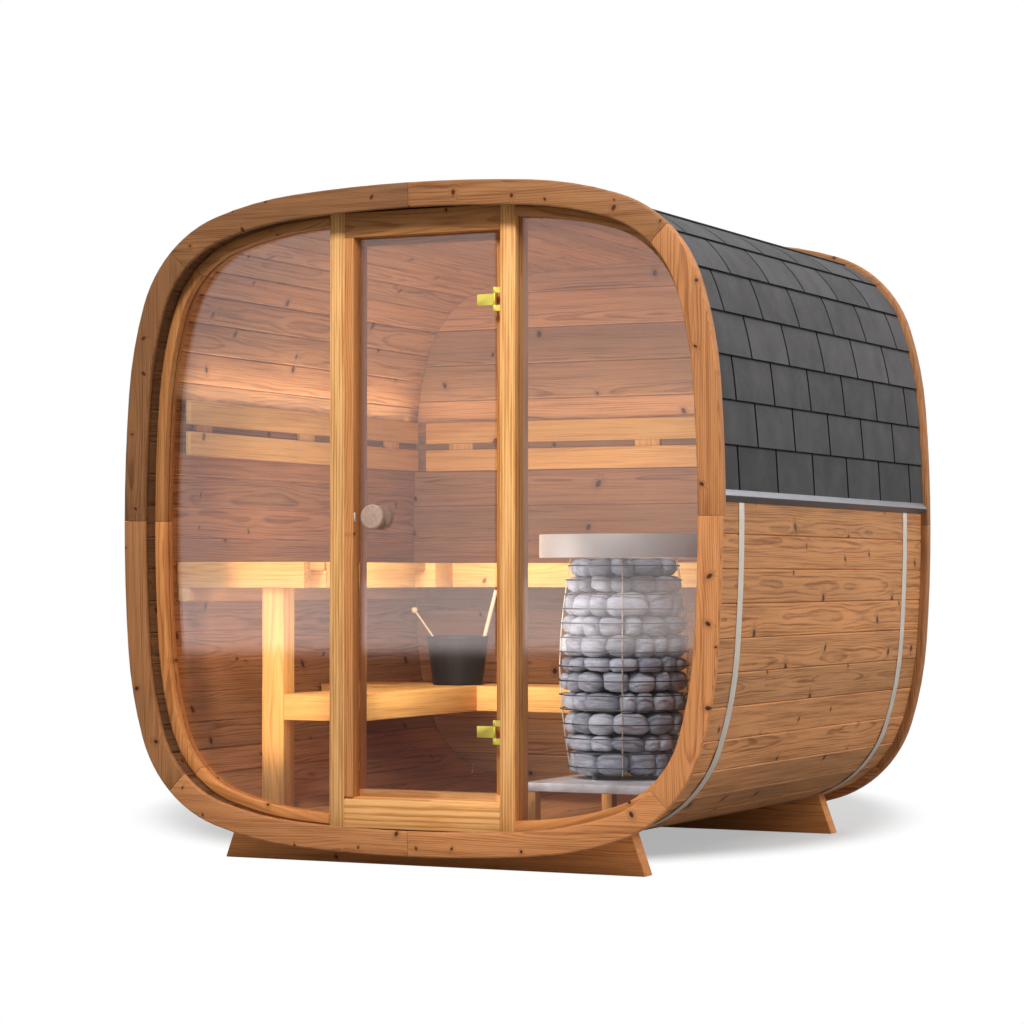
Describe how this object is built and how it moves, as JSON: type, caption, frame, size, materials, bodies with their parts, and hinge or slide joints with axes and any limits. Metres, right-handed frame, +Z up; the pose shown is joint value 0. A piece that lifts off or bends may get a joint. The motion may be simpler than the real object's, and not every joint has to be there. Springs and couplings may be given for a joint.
{
  "type": "outdoor sauna",
  "caption": "Outdoor barrel sauna with a rounded-square section, glazed front wall with a hinged glass door, shingled top half, benches and a caged stone heater inside.",
  "frame": {"origin": "on the ground, in the middle of the footprint", "axes": "X to the right seen from the front, Y from the front to the back, Z up"},
  "size_m": [2.1, 2, 2.142],
  "materials": {
    "shell_wood": "satin",
    "ring_wood": "satin",
    "frame_wood": "satin",
    "bench_wood": "matte",
    "knob_wood": "satin",
    "ladle_wood": "satin",
    "shingle": "rough mineral surface",
    "drip_aluminium": "satin",
    "band_steel": "satin",
    "glass": "lightly bronze tinted",
    "brass": "polished",
    "catch_chrome": "polished",
    "stones": "rough",
    "cage_steel": "satin",
    "collar_steel": "satin",
    "tray_steel": "matte",
    "bucket_black": "satin"
  },
  "bodies": {
    "building": {"floor": "shell_wood", "corner_lower_right": "shell_wood", "wall_right": "shell_wood", "corner_upper_right": "shell_wood", "roof": "shell_wood", "corner_upper_left": "shell_wood", "wall_left": "shell_wood", "corner_lower_left": "shell_wood", "front_ring_upper": "ring_wood", "front_ring_lower": "ring_wood", "rear_ring": "ring_wood", "roof_shingles": "shingle", "drip_edges": "drip_aluminium", "steel_bands": "band_steel", "cradle_front": "ring_wood", "cradle_rear": "ring_wood", "window_frame_left": "frame_wood", "window_frame_right": "frame_wood", "window_glass_left": "glass", "window_glass_right": "glass", "post_left": "frame_wood", "post_right": "frame_wood", "door_head": "frame_wood", "door_sill": "frame_wood", "door_jambs": "frame_wood", "hinge_plates": "brass", "door_catch": "catch_chrome", "back_wall": "shell_wood", "upper_bench_left": "bench_wood", "upper_bench_back": "bench_wood", "lower_bench_left": "bench_wood", "lower_bench_back": "bench_wood", "bench_supports": "bench_wood", "backrest_left": "bench_wood", "backrest_back": "bench_wood", "heater_stones": "stones", "heater_cage": "cage_steel", "heater_collar": "collar_steel", "heater_tray": "tray_steel", "heater_stand": "bench_wood", "bucket": "bucket_black", "ladle": "ladle_wood"},
    "door": {"door_glass": "glass", "hinge_clamps": "brass", "door_knobs": "knob_wood"}
  },
  "joints": [
    {"name": "door_hinge", "type": "hinge", "parent": "building", "child": "door", "pos_m": [0.256, -0.908, 0], "axis": [0, 0, 1], "range_deg": [0, 100]}
  ]
}
